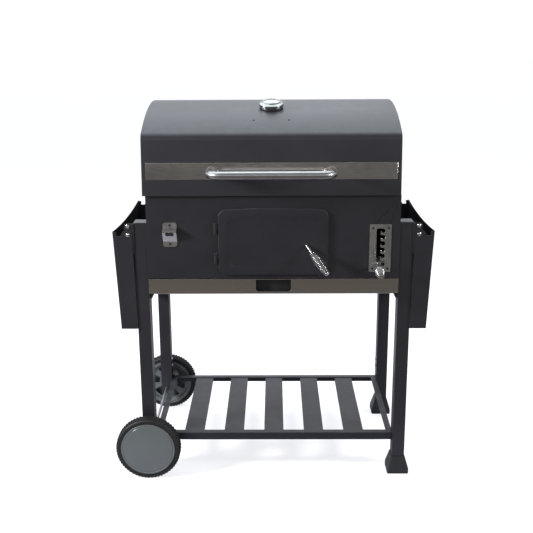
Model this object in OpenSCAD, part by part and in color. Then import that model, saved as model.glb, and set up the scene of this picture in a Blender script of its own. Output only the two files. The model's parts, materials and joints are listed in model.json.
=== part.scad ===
// Charcoal grill trolley: a lidded firebox on four square legs, with an adjustable
// charcoal tray, an ash drawer, two folding side shelves and two wheels.
// Modelling datum: X = 0 is the firebox's middle, Y = 0 the front legs' front face
// (+Y is the back) and Z = 0 the ground. cart_frame() moves it all to the row's origin,
// which is the middle of the bounding box on the ground.

/* [Legs and feet] */
// Clear width between the left and right legs
clear_width = 780; // [760:2:800]
// Width of a leg tube, side to side
leg_width = 40; // [36:1:44]
// Depth of a leg tube, front to back
leg_depth = 46; // [42:1:50]
// Distance from the front legs' front to the rear legs' back
leg_span = 504; // [490:2:520]
// Height of the legs, caps included
leg_top = 851; // [845:1:860]
// Wall thickness of a leg tube
leg_wall = 1.5; // [1.2:0.1:2]
// Side of a foot on the ground
foot_size = 70; // [64:1:74]
// Height of a foot
foot_height = 58; // [50:1:64]

/* [Wheels] */
// Radius of a wheel
wheel_radius = 105; // [100:1:108]
// Width of a wheel
wheel_width = 41; // [38:1:43]
// Radius of the hubcap
cap_radius = 90; // [86:1:92]
// Radius of the axle
axle_radius = 5; // [4:0.5:6]

/* [Bottom shelf] */
// Height of the shelf frame's top
shelf_top = 140; // [130:1:160]
// Height of the frame's angle section
rail_height = 25; // [20:1:30]
// Width of one slat
slat_width = 64; // [56:1:72]
// Distance from slat to slat
slat_pitch = 132; // [126:1:136]
// Number of slats
slat_count = 5; // [4:1:5]

/* [Firebox] */
// Bottom edge of the firebox panels
box_bottom = 672.5; // [672:0.5:674]
// Top edge of the firebox panels
box_top = 934.5; // [934:0.5:934.5]
// Thickness of the sheet steel
sheet = 1.5; // [1.2:0.1:1.6]

/* [Hood] */
// Height of the hood's bottom edge
hood_bottom = 935; // [935:0.5:936]
// Width of the hood
hood_width = 785; // [783:1:787]
// Lean of the hood's front face, in degrees
hood_lean = 5.5; // [5:0.5:6]
// Radius of the hood's top
hood_radius = 640; // [630:5:650]
// Radius of the bends at the top of the front and back
hood_bend = 28; // [24:1:32]
// Outer diameter of the handle tube
handle_tube = 25; // [22:1:26]
// Overall width of the handle
handle_width = 390; // [360:2:402]

/* [Coal door] */
// Width of the door
door_width = 339; // [335:1:341]
// Height of the door at its sides
door_side_height = 205; // [200:1:208]
// Height of the door at its middle
door_mid_height = 211.6; // [211:0.2:213]
// Radius of the door's corners
door_corner = 25; // [20:1:30]

/* [Charcoal tray and lever] */
// Distance from one notch of the height plate to the next
notch_pitch = 20; // [20:1:20]
// Number of hooked notches above the bottom one
notch_count = 5; // [5:1:5]

/* [Side shelves] */
// Length of a shelf, from its hinge edge to its end
side_shelf_length = 316; // [300:2:316]
// Depth of a shelf's side flanges at the hinge
side_flange = 60; // [59:0.5:61]

/* [Hidden] */
$fn = 48;

// Colours
paint = [0.19, 0.19, 0.20];
paint_light = [0.30, 0.31, 0.34];
steel = [0.62, 0.60, 0.57];
chrome = [0.80, 0.80, 0.82];
zinc = [0.66, 0.67, 0.68];
black = [0.06, 0.06, 0.06];
rubber = [0.10, 0.10, 0.10];
grey = [0.42, 0.44, 0.45];
enamel = [0.10, 0.10, 0.11];

// Clearances
play = 0.3;        // between bodies that move past each other
running = 0.05;    // radial, between a pin and its bore
eps = 0.01;

// Row origin in the modelling datum
leg_in = clear_width / 2;
leg_out = leg_in + leg_width;
wheel_x = -(leg_in + leg_width / 2);
front_most = -138.5;
back_most = leg_span + 4 + wheel_width + 1.5;
origin_x = (wheel_x - wheel_radius + leg_in + 105.5) / 2;
origin_y = (front_most + back_most) / 2;

// Legs
leg_cap = 2;
left_leg_bottom = 82;
right_leg_bottom = 8;
rear_leg_y = leg_span - leg_depth;

// Firebox
panel_front = -2;
panel_back = leg_span + 2;
panel_inner_front = panel_front + sheet;
panel_inner_back = panel_back - sheet;
rim = 12;

// Hood's middle and its hinge
hood_x = -5;
hood_axis_y = 528;
hood_axis_z = hood_bottom;
hood_knuckle = 7;
hood_pin = 3.5;
hood_hinge_x = [-250, 250];

// Coal door, its opening and its hinge
door_bottom = 685;
door_front = -10.5;
door_back = -2.6;
door_field_width = 282;
door_field_bottom = 711.5;
door_field_side = 151;
door_field_mid = 157;
door_field_corner = 18;
door_field_slope = 4.5;
door_field_depth = 1.8;
opening_half = 158;
opening_low = 697;
opening_high = 878;
door_axis_x = -178.5;
door_axis_y = -8;
door_hinge_z = [739, 832.5];
door_hinge_half = 16.5;
door_knuckle = 4.8;
door_pin = 2.5;

// Latch
latch_x = 102;
latch_z = 779;
latch_tip = [162.8, -80, 707.6];
latch_elbow = [latch_x, -13, latch_z];
latch_radius = 4;
grip_length = 82;
grip_end_radius = 8.5;
grip_bulge = 5.5;

// Height plate and lever
plate_low = 692.8;
plate_high = 843.5;
plate_left = 296.5;
plate_right = 363.2;
plate_front = panel_front - sheet;
slot_x = 323.9;
slot_width = 13;
slot_low = 711.5;
slot_foot = [20.5, 16.5];
notch_low_z = 731;
notch_neck = 10;
lobe_radius = 6.6;
lobe_x = 14;
lobe_drop = 7.6;
plate_screws = [for (x = [307, 354], z = [703.5, 832]) [x, z]];
lever_radius = 3.5;
lever_z = 715.3;
lever_elbow = [slot_x - 2.2, -9, lever_z];
lever_tip = [318.5, -136, 715];

// Bottle opener
opener_left = -339.5;
opener_right = -296.5;
opener_sheet = 2;
opener_reach = 18;
opener_x = (opener_left + opener_right) / 2;
opener_screws = [for (z = [784, 843]) [opener_x, z]];
screw_radius = 2;

// Ash drawer
drawer_low = 623;
drawer_high = 670.2;
drawer_half = 372;
drawer_back = 488;
pull_half = 55;
pull_low = 629;
pull_high = 668;
pull_corner = 9;

// Charcoal tray
coal_half = 370;
coal_front = 18;
coal_back = 488;
coal_low = 693;
coal_high = 739;

// Side shelf, in the plane across the cart, right-hand side
pivot = [448.4, 812.8];
lock = [447.5, 839.5];
shelf_corner = [495.4, 823];
shelf_end = [482, 823 - side_shelf_length];
shelf_sheet = 1.2;
shelf_front = -4;
shelf_back = leg_span + 4;
bolt_radius = 4;
ear = 2.5;

// Thermometer
gauge_y = 183;
gauge_radius = 38.6;
lens_radius = 25.4;

// ---------------------------------------------------------------- helpers

function arc(c, r, from, to, steps) =
  [for (i = [0 : steps]) let (a = from + (to - from) * i / steps) c + r * [cos(a), sin(a)]];

function reversed(list) = [for (i = [len(list) - 1 : -1 : 0]) list[i]];

module cart_frame() {
  translate([-origin_x, -origin_y, 0]) children();
}

// As cart_frame(), with X = 0 at the hood's middle
module hood_frame() {
  cart_frame() translate([hood_x, 0, 0]) children();
}

module both_sides() {
  children();
  mirror([1, 0, 0]) children();
}

// A box from its lowest corner to its highest corner
module box(low, high) {
  translate(low) cube(high - low);
}

// An outline drawn in X and Z, extruded along Y from y to y + depth
module along_y(y, depth) {
  translate([0, y + depth, 0]) rotate([90, 0, 0]) linear_extrude(depth) children();
}

// An outline drawn in Y and Z, extruded along X from x to x + width
module along_x(x, width) {
  translate([x, 0, 0]) rotate([90, 0, 90]) linear_extrude(width) children();
}

module rod_y(x, z, from, to, r) {
  translate([x, to, z]) rotate([90, 0, 0]) cylinder(r = r, h = to - from);
}

module rod_x(y, z, from, to, r) {
  translate([from, y, z]) rotate([0, 90, 0]) cylinder(r = r, h = to - from);
}

// Turns +Z towards the line from p to q and moves the origin to p
module on_line(p, q) {
  d = q - p;
  translate(p) rotate([0, acos(d[2] / norm(d)), atan2(d[1], d[0])]) children();
}

// A slot of half width r with round ends, from p to q
module slot(p, q, r) {
  d = q - p;
  for (end = [p, q]) translate(end) circle(r);
  translate(p) rotate(atan2(d[1], d[0])) translate([0, -r]) square([norm(d), 2 * r]);
}

// A pan head screw along Y, its head's back at y and its shank running to y + length
module pan_screw(x, z, y, length, head = 3.5) {
  difference() {
    rod_y(x, z, y - 2, y, head);
    box([x - head * 0.7, y - 2 - eps, z - 0.5], [x + head * 0.7, y - 1.2, z + 0.5]);
    box([x - 0.5, y - 2 - eps, z - head * 0.7], [x + 0.5, y - 1.2, z + head * 0.7]);
  }
  rod_y(x, z, y - 0.5, y + length, screw_radius);
}

// A hexagon bolt along X: the head lies from x towards -X, the shank towards +X
module hex_bolt_x(x, y, z, shank) {
  translate([x - 4, y, z]) rotate([0, 90, 0]) cylinder(r = 5.8, h = 4, $fn = 6);
  rod_x(y, z, x - 1, x + shank, 3);
}

// ---------------------------------------------------------------- legs and feet

module leg_tube(x, y, low) {
  difference() {
    box([x, y, low], [x + leg_width, y + leg_depth, leg_top - leg_cap]);
    box([x + leg_wall, y + leg_wall, low - 1],
      [x + leg_width - leg_wall, y + leg_depth - leg_wall, leg_top]);
    children();
  }
}

frame_bolt_y = [leg_depth / 2, leg_span - leg_depth / 2];
frame_bolt_z = [shelf_top - 15, 715, 820];
rear_bolt_z = [188, 214];

// Holes for the frame and firebox bolts through the inner walls of the right legs
module bolt_holes(r = 3.2) {
  for (y = frame_bolt_y, z = frame_bolt_z) rod_x(y, z, leg_in - 4, leg_in + 4, r);
  for (z = rear_bolt_z) rod_x(frame_bolt_y[1], z, leg_in - 4, leg_in + 4, r);
}

module axle_hole() {
  rod_y(wheel_x, wheel_radius, -10, leg_span + 10, axle_radius + running);
}

module front_left_leg() color(paint) cart_frame()
  leg_tube(-leg_out, 0, left_leg_bottom) { axle_hole(); mirror([1, 0, 0]) bolt_holes(); }

module rear_left_leg() color(paint) cart_frame()
  leg_tube(-leg_out, rear_leg_y, left_leg_bottom) { axle_hole(); mirror([1, 0, 0]) bolt_holes(); }

module front_right_leg() color(paint) cart_frame()
  leg_tube(leg_in, 0, right_leg_bottom) bolt_holes();

module rear_right_leg() color(paint) cart_frame()
  leg_tube(leg_in, rear_leg_y, right_leg_bottom) bolt_holes();

// A plastic plug that closes a tube's end; side is 1 at the top and -1 at the bottom
module tube_plug(x, y, z, side) {
  inset = leg_wall + 0.1;
  translate([x, y, z]) {
    low = side > 0 ? 0 : -leg_cap;
    box([0, 0, low], [leg_width, leg_depth, low + leg_cap]);
    in_low = side > 0 ? -14 : 0;
    box([inset, inset, in_low], [leg_width - inset, leg_depth - inset, in_low + 14]);
  }
}

module leg_plugs() color(paint_light) cart_frame() {
  for (x = [-leg_out, leg_in], y = [0, rear_leg_y]) tube_plug(x, y, leg_top - leg_cap, 1);
  for (y = [0, rear_leg_y]) difference() {
    tube_plug(-leg_out, y, left_leg_bottom, -1);
    axle_hole();
  }
}

// A round-cornered plate that a foot's outline is made from
module foot_slice(side_x, side_y, z, h, r) {
  translate([0, 0, z]) linear_extrude(h) for (x = [-1, 1], y = [-1, 1])
    translate([x * (side_x / 2 - r), y * (side_y / 2 - r)]) circle(r, $fn = 32);
}

module foot(x, y) {
  skirt = 16;
  wall = 2.6;
  difference() {
    translate([x + leg_width / 2, y + leg_depth / 2, 0]) hull() {
      foot_slice(foot_size, foot_size, 0, skirt, 6);
      foot_slice(leg_width + 2 * wall, leg_depth + 2 * wall, foot_height - 4, 4, 3);
    }
    box([x - 0.1, y - 0.1, right_leg_bottom], [x + leg_width + 0.1, y + leg_depth + 0.1, foot_height + 1]);
  }
}

module feet() color(black) cart_frame() for (y = [0, rear_leg_y]) foot(leg_in, y);

// ---------------------------------------------------------------- bottom shelf

rail = 2;
flange_long = 22;
flange_short = 20;
frame_front = 8;
frame_back = leg_span - 8;

module shelf_long_rails() color(paint) cart_frame() {
  for (back = [false, true]) {
    web = back ? frame_back - rail : frame_front;
    flange = back ? frame_back - flange_long : frame_front;
    box([-leg_in, web, shelf_top - rail_height], [leg_in, web + rail, shelf_top]);
    box([-leg_in, flange, shelf_top - rail], [leg_in, flange + flange_long, shelf_top]);
  }
}

module shelf_short_rails() color(paint) cart_frame() both_sides() difference() {
  union() {
    box([leg_in - rail, frame_front + rail, shelf_top - rail_height],
      [leg_in, frame_back - rail, shelf_top - rail]);
    box([leg_in - flange_short, frame_front + flange_long, shelf_top - rail],
      [leg_in, frame_back - flange_long, shelf_top]);
  }
  bolt_holes();
}

// A slat is a strip with both long edges turned down
module slat(x) {
  top = shelf_top - rail;
  y0 = frame_front + rail;
  y1 = frame_back - rail;
  box([x - slat_width / 2, y0, top - sheet], [x + slat_width / 2, y1, top]);
  for (side = [-1, 1]) {
    edge = x + side * (slat_width / 2 - sheet / 2);
    box([edge - sheet / 2, y0, top - 9], [edge + sheet / 2, y1, top]);
  }
}

module shelf_slats() color(paint_light) cart_frame()
  for (i = [0 : slat_count - 1]) slat((i - (slat_count - 1) / 2) * slat_pitch);

module frame_bolts() color(zinc) cart_frame() both_sides() {
  for (y = frame_bolt_y) {
    hex_bolt_x(leg_in - rail, y, frame_bolt_z[0], 6);
    for (z = [frame_bolt_z[1], frame_bolt_z[2]]) hex_bolt_x(leg_in - sheet, y, z, 6);
  }
  for (z = rear_bolt_z) hex_bolt_x(leg_in, frame_bolt_y[1], z, 5);
}

// ---------------------------------------------------------------- firebox

module screw_holes(list) {
  for (s = list) rod_y(s[0], s[1], -20, 10, screw_radius + 0.1);
}

module firebox_front_panel() color(paint) cart_frame() difference() {
  union() {
    box([-leg_in, panel_front, box_bottom], [leg_in, panel_inner_front, box_top]);
    box([-leg_in, panel_front, box_top - sheet], [leg_in, panel_inner_front + rim, box_top]);
  }
  along_y(-20, 60) {
    for (z = [opening_low + 10, opening_high - 10]) slot([-opening_half + 10, z], [opening_half - 10, z], 10);
    polygon([[-opening_half, opening_low + 10], [opening_half, opening_low + 10],
      [opening_half, opening_high - 10], [-opening_half, opening_high - 10]]);
  }
  box([slot_x - 8, -20, slot_low - 4], [slot_x + 23, 5, plate_high - 9]);
  screw_holes(plate_screws);
  screw_holes(opener_screws);
}

module firebox_back_panel() color(paint) cart_frame() {
  box([-leg_in, panel_inner_back, box_bottom], [leg_in, panel_back, box_top]);
  box([-leg_in, panel_inner_back - rim, box_top - sheet], [leg_in, panel_back, box_top]);
}

module side_panel() difference() {
  union() {
    box([leg_in - sheet, panel_inner_front, box_bottom], [leg_in, panel_inner_back, box_top - sheet]);
    box([leg_in - rim, panel_inner_front + rim, box_top - sheet],
      [leg_in, panel_inner_back - rim, box_top]);
  }
  bolt_holes();
}

module firebox_left_panel() color(paint) cart_frame() mirror([1, 0, 0]) side_panel();
module firebox_right_panel() color(paint) cart_frame() side_panel();

// An angle that carries the drawer, with a gusset at its front
module drawer_runner() {
  shelf_z = drawer_low - 2;
  x0 = leg_in - 15;
  box([x0, 4, shelf_z - sheet], [leg_in, 486, shelf_z]);
  box([leg_in - sheet, 4, shelf_z - 16], [leg_in, 486, shelf_z]);
  along_y(4, 3) polygon([[x0 + 2, shelf_z - sheet], [leg_in - sheet, shelf_z - sheet],
    [leg_in - sheet, shelf_z - 16]]);
}

module drawer_runners() color(paint) cart_frame() both_sides() drawer_runner();

module grate_ledges() color(paint) cart_frame() {
  ledge_z = 905;
  for (back = [false, true]) {
    wall = back ? panel_inner_back - sheet : panel_inner_front;
    shelf = back ? panel_inner_back - 15 : panel_inner_front;
    box([-leg_in + 4, wall, ledge_z - 18], [leg_in - 4, wall + sheet, ledge_z]);
    box([-leg_in + 4, shelf, ledge_z - sheet], [leg_in - 4, shelf + 15, ledge_z]);
  }
}

// One wire grate: a rim, three cross wires and the bars that lie on them
module grate(x0, x1) {
  rim_r = 3;
  bar_r = 2.5;
  bars = 24;
  y0 = 4;
  y1 = leg_span - 4;
  z = 905 + rim_r;
  for (y = [y0, (y0 + y1) / 2, y1]) rod_x(y, z, x0, x1, rim_r);
  for (x = [x0, x1]) {
    rod_y(x, z, y0, y1, rim_r);
    for (y = [y0, y1]) translate([x, y, z]) sphere(rim_r);
  }
  for (i = [1 : bars])
    rod_y(x0 + (x1 - x0) * i / (bars + 1), z + rim_r + bar_r - 0.8, y0, y1, bar_r);
}

module cooking_grates() color(enamel) cart_frame() both_sides() grate(5, leg_in - 8);

module tray_rests() color(paint) cart_frame() both_sides() {
  top = coal_low - 0.5;
  box([leg_in - 30, 30, top - sheet], [leg_in - sheet, leg_span - 30, top]);
  box([leg_in - 2 * sheet, 30, top - 14], [leg_in - sheet, leg_span - 30, top]);
}

// One hooked notch of the height plate, with its top edge at z: a neck and a round lobe that
// hangs below the neck, so that a tooth is left between the lobe and the slot
function notch(z) =
  let (edge = slot_x + slot_width / 2)
  concat([[edge, z], [slot_x + lobe_x - 5, z]],
    arc([slot_x + lobe_x, z - lobe_drop], lobe_radius, 75, -165, 14), [[edge, z - notch_neck]]);

// The outline of the height plate's slot, with a square foot and the notches on its right
function plate_slot() =
  let (half = slot_width / 2, top = notch_low_z + notch_count * notch_pitch)
  concat([[slot_x - half, slot_low]], arc([slot_x, top - half], half, 180, 90, 6),
    [for (i = [notch_count : -1 : 1]) each notch(notch_low_z + i * notch_pitch)],
    [[slot_x + half, slot_low + slot_foot[1]], [slot_x, slot_low] + slot_foot,
      [slot_x + slot_foot[0], slot_low]]);

// A rectangle with round corners
function rounded(low, high, r) = concat(
  arc([low[0] + r, low[1] + r], r, 180, 270, 5), arc([high[0] - r, low[1] + r], r, 270, 360, 5),
  arc([high[0] - r, high[1] - r], r, 0, 90, 5), arc([low[0] + r, high[1] - r], r, 90, 180, 5));

module height_plate() color(steel) cart_frame() difference() {
  along_y(plate_front, sheet) difference() {
    polygon(rounded([plate_left, plate_low], [plate_right, plate_high], 3));
    polygon(plate_slot());
  }
  screw_holes(plate_screws);
}

module panel_screws() color(zinc) cart_frame() {
  for (s = plate_screws) pan_screw(s[0], s[1], plate_front, 4.5);
  for (s = opener_screws) pan_screw(s[0], s[1], panel_front - opener_sheet, 6);
}

// A bent strip, screwed flat at its top and bottom, with the opening tooth in its slope
module bottle_opener() color(steel) cart_frame() difference() {
  t = opener_sheet;
  out = panel_front - opener_reach;
  back = [[panel_front, 851], [panel_front, 836], [out, 829], [out, 823], [panel_front, 792],
    [panel_front, 775]];
  rise = t * [0, 0.684, 0.684, -0.269, -0.269, 0];
  front = [for (i = [0 : len(back) - 1]) back[i] + [-t, rise[i]]];
  along_x(opener_left, opener_right - opener_left) polygon(concat(back, reversed(front)));
  along_y(-40, 60) {
    for (side = [-1, 1]) translate([opener_x + side * 6.6, 817.6]) circle(7);
    translate([opener_x - 6.6, 812.1]) square([13.2, 11]);
  }
  for (x = [opener_left, opener_right], z = [775, 851]) opener_corner(x, z);
  screw_holes(opener_screws);
}

// Rounds off one corner of the opener
module opener_corner(x, z) {
  r = 8;
  sx = x == opener_left ? 1 : -1;
  sz = z < 800 ? 1 : -1;
  along_y(-40, 60) difference() {
    translate([x - (sx > 0 ? 1 : r), z - (sz > 0 ? 1 : r)]) square(r + 1);
    translate([x + sx * r, z + sz * r]) circle(r);
  }
}

// Lower halves of the lift-off hinges, each with its pin
module door_hinge_brackets() color(paint) cart_frame() for (z = door_hinge_z) {
  low = z - door_hinge_half;
  difference() {
    union() {
      translate([door_axis_x, door_axis_y, low]) cylinder(r = door_knuckle, h = door_hinge_half - play);
      box([-186, panel_front - 1.5, low], [-171, panel_front, z - play]);
      box([door_axis_x - 2, door_axis_y, low], [door_axis_x + 2, panel_front, z - play]);
    }
    translate([door_axis_x, door_axis_y, low + 3]) cylinder(r = door_pin + running, h = 40);
  }
  translate([door_axis_x, door_axis_y, low + 3]) cylinder(r = door_pin, h = 2 * door_hinge_half - 4.5);
}

// ---------------------------------------------------------------- shelf brackets

// Ear of a shelf bracket in X and Z, on the right-hand side
module bracket_ear() {
  difference() {
    union() {
      polygon([[leg_out, 752.5], [leg_out + 22, 752.5], [458.6, 760], [458.6, 840], [leg_out, 840]]);
      translate([451.2, 840]) circle(7.4);
      translate([leg_out, 836]) square([21.2, 11.4]);
    }
    translate(pivot) circle(bolt_radius + running);
    translate(lock) circle(bolt_radius + running);
  }
}

module shelf_brackets() color(paint) cart_frame() both_sides() {
  for (y = [-ear, leg_span]) along_y(y, ear) bracket_ear();
  for (y = [0, leg_span - 30]) box([leg_out, y, 752.5], [leg_out + ear, y + 30, 847.4]);
}

// A dome head bolt along Y on the right-hand side, with its nut behind the ear
module shelf_bolt(at, gap) {
  head = 6;
  for (back = [false, true]) {
    face = back ? shelf_back + gap : shelf_front - gap;
    out = back ? 1 : -1;
    intersection() {
      translate([at[0], face - out * 5, at[1]]) sphere(8.2);
      rod_y(at[0], at[1], back ? face : face - 4, back ? face + 4 : face, head);
    }
    inner = back ? leg_span - 5 : 0;
    rod_y(at[0], at[1], back ? leg_span - 7 : face - 0.5, back ? face + 0.5 : 7, bolt_radius);
    translate([at[0], inner + 5, at[1]]) rotate([90, 0, 0]) cylinder(r = 7, h = 5, $fn = 6);
  }
}

module shelf_bolts() color(chrome) cart_frame() both_sides() {
  shelf_bolt(pivot, play);
  shelf_bolt(lock, play);
}

// ---------------------------------------------------------------- hood hinge

module hood_barrel(x0, x1) {
  rod_x(hood_axis_y, hood_axis_z, x0, x1, hood_knuckle);
}

// Outer knuckles on a plate on the back panel, with the pin through them
module hood_hinge_brackets() color(zinc) hood_frame() for (x = hood_hinge_x) {
  difference() {
    union() {
      box([x - 30, panel_back, 880], [x + 30, panel_back + 2.5, 930]);
      for (side = [-1, 1]) {
        edge = x + side * 22;
        hood_barrel(edge - 8, edge + 8);
        box([edge - 8, panel_back, 923], [edge + 8, hood_axis_y, 932]);
      }
    }
    hood_barrel_bore(x);
  }
  rod_x(hood_axis_y, hood_axis_z, x - 34, x + 34, hood_pin);
  for (end = [x - 36, x + 31]) rod_x(hood_axis_y, hood_axis_z, end, end + 5, hood_pin + 2);
}

module hood_barrel_bore(x) {
  rod_x(hood_axis_y, hood_axis_z, x - 50, x + 50, hood_pin + running);
}

// ---------------------------------------------------------------- wheels

wheel_gap = 4;
front_wheel_y = -wheel_gap;
rear_wheel_y = leg_span + wheel_gap;

module wheel_axle() color(zinc) cart_frame()
  rod_y(wheel_x, wheel_radius, front_wheel_y - 36, rear_wheel_y + 36, axle_radius);

module axle_nuts_and_spacers() color(zinc) cart_frame() for (y = [front_wheel_y, leg_span]) {
  difference() {
    rod_y(wheel_x, wheel_radius, y + 0.1, y + wheel_gap - 0.1, 10);
    rod_y(wheel_x, wheel_radius, y - 1, y + wheel_gap + 1, axle_radius + running);
  }
  nut = y < 0 ? front_wheel_y - 36 : rear_wheel_y + 30;
  difference() {
    translate([wheel_x, nut + 6, wheel_radius]) rotate([90, 0, 0]) cylinder(r = 9, h = 6, $fn = 6);
    rod_y(wheel_x, wheel_radius, nut - 1, nut + 7, axle_radius + running);
  }
}

// Stands a wheel piece, drawn about +Z with its inner face at 0, on the axle
module on_axle(y, out) {
  translate([wheel_x, y, wheel_radius]) rotate([out < 0 ? 90 : -90, 0, 0]) children();
}

module tyre() rotate_extrude($fn = 96) {
  bead = cap_radius - 2;
  w = wheel_width - 1;
  shoulder = 6;
  polygon(concat([[bead, 1]], arc([wheel_radius - shoulder, 1 + shoulder], shoulder, -90, 0, 6),
    arc([wheel_radius - shoulder, w - shoulder], shoulder, 0, 90, 6), [[bead, w]]));
}

module hub() difference() {
  rotate_extrude($fn = 96) polygon([[axle_radius + running, 2], [18, 2], [18, 10], [72, 10], [76, 2],
    [cap_radius - 2, 2], [cap_radius - 2, wheel_width - 6], [cap_radius - 7, wheel_width - 6],
    [80, 14], [22, 14], [16, 29.6], [axle_radius + running, 29.6]]);
  for (i = [0 : 5]) rotate(i * 60 + 11) translate([0, 0, 5]) linear_extrude(14) difference() {
    circle(0.62 * wheel_radius);
    circle(0.33 * wheel_radius);
    rotate(17.5) translate([-100, 0]) square([200, 100]);
    rotate(-17.5) translate([-100, -100]) square([200, 100]);
    translate([-100, -100]) square([100, 200]);
  }
}

module hubcap() rotate_extrude($fn = 96) {
  t = wheel_width - 1;
  r = cap_radius;
  polygon([[0, t - 0.5], [r - 14, t - 2], [r - 8, t - 2.6], [r - 8, t - 5], [r - 4, t - 5], [r - 4, t - 3.5],
    [r - 2.5, t - 3], [r - 2.5, t + 0.3], [r - 4, t + 1], [r - 7, t + 0.9], [r - 7.8, t - 0.4],
    [r - 9, t - 0.4], [r - 10, t + 0.6], [r / 2, t + 1.4], [0, t + 1.8]]);
}

module front_tyre() color(rubber) cart_frame() on_axle(front_wheel_y, -1) tyre();
module front_hub() color(grey) cart_frame() on_axle(front_wheel_y, -1) hub();
module front_hubcap() color(grey) cart_frame() on_axle(front_wheel_y, -1) hubcap();
module rear_tyre() color(rubber) cart_frame() on_axle(rear_wheel_y, 1) tyre();
module rear_hub() color(grey) cart_frame() on_axle(rear_wheel_y, 1) hub();
module rear_hubcap() color(grey) cart_frame() on_axle(rear_wheel_y, 1) hubcap();

// ---------------------------------------------------------------- hood

// The hood's section in Y and Z: a leaning front, a round top and an upright back,
// with a bend of radius hood_bend between them. inset moves it inwards.
hood_foot = [panel_front - 10, hood_bottom];
hood_back = panel_back + 10;
top_centre = [318, hood_bottom + 261.5 - hood_radius];
lean_dir = [sin(hood_lean), cos(hood_lean)];
lean_in = [cos(hood_lean), -sin(hood_lean)];
front_start = hood_foot + hood_bend * lean_in - top_centre;
front_half = front_start * lean_dir;
front_run = -front_half + sqrt(front_half * front_half - front_start * front_start
  + pow(hood_radius - hood_bend, 2));
front_bend = hood_foot + hood_bend * lean_in + front_run * lean_dir;
back_bend_y = hood_back - hood_bend;
back_bend = [back_bend_y, top_centre[1]
  + sqrt(pow(hood_radius - hood_bend, 2) - pow(back_bend_y - top_centre[0], 2))];
front_angle = atan2(front_bend[1] - top_centre[1], front_bend[0] - top_centre[0]);
back_angle = atan2(back_bend[1] - top_centre[1], back_bend[0] - top_centre[0]);

function hood_section(inset) = concat(
  [hood_foot + inset * lean_in],
  arc(front_bend, hood_bend - inset, 180 - hood_lean, front_angle, 8),
  arc(top_centre, hood_radius - inset, front_angle, back_angle, 32),
  arc(back_bend, hood_bend - inset, back_angle, 0, 8),
  [[hood_back - inset, hood_bottom]]);

// Moves to height z on the hood's front face and leans with it; -Y points outwards
module on_hood_front(z) {
  translate([0, hood_foot[0] + (z - hood_bottom) * tan(hood_lean), z]) rotate([-hood_lean, 0, 0]) children();
}

// Moves to the hood's top at y and tilts with it; +Z points outwards
module on_hood_top(y) {
  slope = asin((top_centre[0] - y) / hood_radius);
  translate([0, y, top_centre[1] + hood_radius * cos(slope)]) rotate([slope, 0, 0]) children();
}

strip_z = 1009;
handle_z = 1012;
handle_y = -108;
handle_leg_x = (handle_width - handle_tube) / 2;
handle_bend = 37;
rivet_hole = 3.3;

module hood_shell() color(paint) hood_frame() difference() {
  hem = hood_width / 2 - 2 * sheet;
  union() {
    along_x(-hood_width / 2, hood_width) polygon(concat(hood_section(0), reversed(hood_section(sheet))));
    box([-hem, hood_foot[0] + sheet / 2, hood_bottom], [hem, panel_front - 0.5, hood_bottom + sheet]);
    box([-hem, panel_back + 0.5, hood_bottom], [hem, hood_back - sheet / 2, hood_bottom + sheet]);
  }
  for (x = [-54, 54]) translate([x, 85, 1100]) cylinder(r = rivet_hole, h = 90);
  on_hood_top(gauge_y) translate([0, 0, -10]) cylinder(r = 5.2, h = 30);
  for (x = [-handle_leg_x, handle_leg_x]) rod_y(x, handle_z, -20, 20, 3.1);
}

module hood_end() difference() {
  along_x(hood_width / 2 - 2 * sheet, sheet) polygon(hood_section(sheet));
  for (i = [0 : 3]) translate([0, 180 + 48 * i, 1120]) rotate([0, 90, 0]) cylinder(r = 7, h = 500);
}

module hood_left_end() color(paint) hood_frame() mirror([1, 0, 0]) hood_end();
module hood_right_end() color(paint) hood_frame() hood_end();

strip_sheet = 0.8;
strip_half = 380.5;

module hood_strip() color(steel) hood_frame() difference() {
  on_hood_front(strip_z) box([-strip_half, -strip_sheet, -25], [strip_half, 0, 25]);
  for (x = [-handle_leg_x, handle_leg_x]) rod_y(x, handle_z, -20, 20, 3.1);
}

// Half of the handle: a straight tube, a bend and a leg closed by a plug
module half_handle() {
  r = handle_tube / 2;
  bend_x = handle_leg_x - handle_bend;
  bend_y = handle_y + handle_bend;
  rod_x(handle_y, handle_z, 0, bend_x, r);
  translate([bend_x, bend_y, handle_z]) rotate([0, 0, -90]) rotate_extrude(angle = 90)
    translate([handle_bend, 0]) circle(r);
  rod_y(handle_leg_x, handle_z, bend_y, 0, r);
}

module hood_handle() color(chrome) hood_frame() difference() {
  both_sides() half_handle();
  on_hood_front(strip_z) box([-400, -strip_sheet, -60], [400, 60, 60]);
  for (x = [-handle_leg_x, handle_leg_x]) rod_y(x, handle_z, -22, 10, 3.05);
}

module handle_screws() color(zinc) hood_frame() for (x = [-handle_leg_x, handle_leg_x]) {
  inner = hood_foot[0] + (handle_z - hood_bottom) * tan(hood_lean) + sheet + 0.7;
  rod_y(x, handle_z, -21, inner + 1, 3);
  translate([x, inner + 5, handle_z]) rotate([90, 0, 0]) cylinder(r = 5.8, h = 5, $fn = 6);
}

// Straps on the hood's back, each with the middle knuckle of a hinge
module hood_hinge_straps() color(zinc) hood_frame() for (x = hood_hinge_x) difference() {
  union() {
    box([x - 30, hood_back, 942.5], [x + 30, hood_back + 2.5, 990]);
    hood_barrel(x - 13.7, x + 13.7);
    box([x - 13.7, hood_back, 936], [x + 13.7, hood_axis_y, 944]);
  }
  hood_barrel_bore(x);
}

module thermometer_gasket() color(black) hood_frame() on_hood_top(gauge_y) difference() {
  translate([0, 0, 0.1]) cylinder(r = gauge_radius - 2.6, h = 1.9);
  translate([0, 0, -1]) cylinder(r = 5.2, h = 5);
}

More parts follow.
